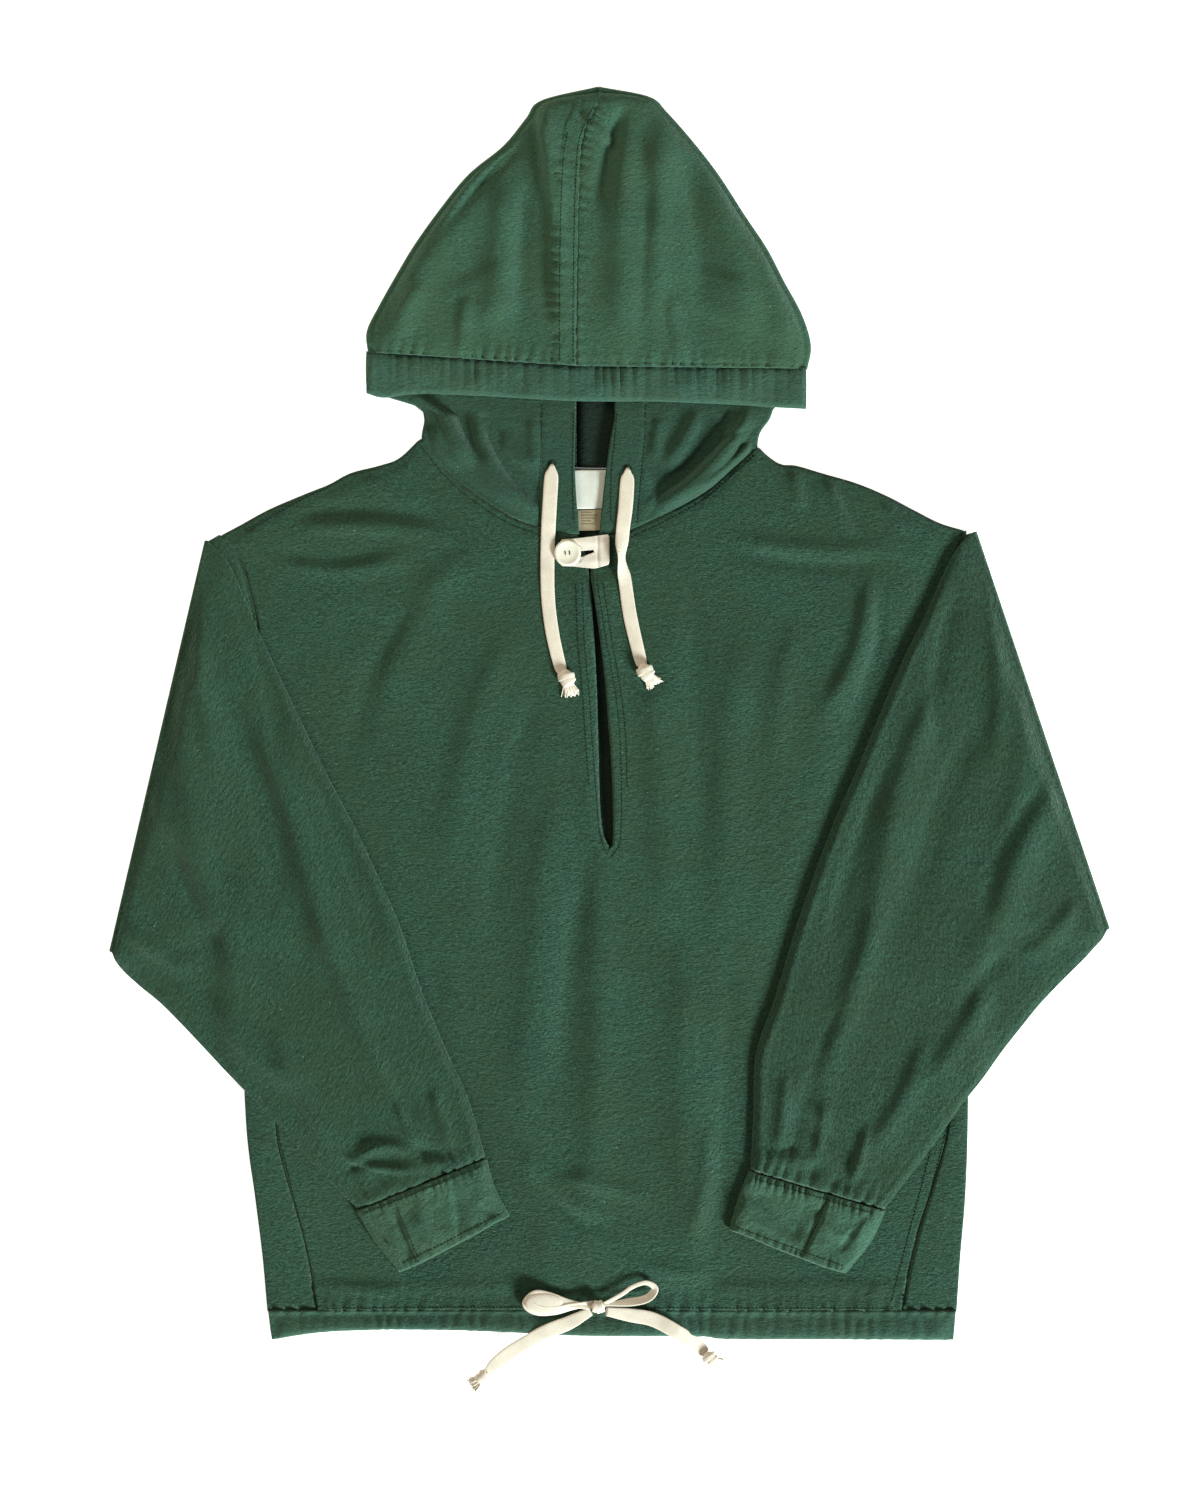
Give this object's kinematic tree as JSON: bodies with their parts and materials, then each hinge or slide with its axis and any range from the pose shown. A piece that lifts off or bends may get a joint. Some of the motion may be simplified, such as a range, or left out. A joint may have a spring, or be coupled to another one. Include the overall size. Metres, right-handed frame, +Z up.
{
  "type": "hooded anorak smock laid flat",
  "caption": "Hooded pullover smock of brushed cotton laid flat, sleeves turned over the front, with neck drawcords, button tab and hem tape in a bow.",
  "frame": {"origin": "on the surface, under the middle of the laid garment without its free tapes", "axes": "+X to the right of the laid garment as seen from above, +Y towards the hood, +Z up from the surface"},
  "size_m": [0.7994, 1.0365, 0.0134],
  "materials": {
    "brushed_cotton": "deep green brushed cotton with a soft nap",
    "hem_cotton": "the same green cotton, smoother, gathered along its stitching",
    "cotton_tape": "cream flat woven cotton tape",
    "label_tape": "plain woven label tape, bare",
    "button": "cream moulded button, satin"
  },
  "bodies": {
    "root": {"body_back": "brushed_cotton", "body_front": "brushed_cotton", "hem_casing": "hem_cotton", "sleeve_left": "brushed_cotton", "sleeve_right": "brushed_cotton", "cuff_left": "hem_cotton", "cuff_right": "hem_cotton", "hood_left": "brushed_cotton", "hood_right": "brushed_cotton", "hood_hem": "hem_cotton", "neck_label": "label_tape", "size_label": "label_tape", "tab_loop": "cotton_tape", "button": "button", "bow_knot": "cotton_tape", "bow_loop_left": "cotton_tape", "bow_loop_right": "cotton_tape", "bow_tail_left": "cotton_tape", "bow_tail_left_knot": "cotton_tape", "bow_tail_right": "cotton_tape", "bow_tail_right_knot": "cotton_tape", "drawcord_left": "cotton_tape", "drawcord_left_knot": "cotton_tape", "drawcord_right": "cotton_tape", "drawcord_right_knot": "cotton_tape"}
  },
  "joints": []
}
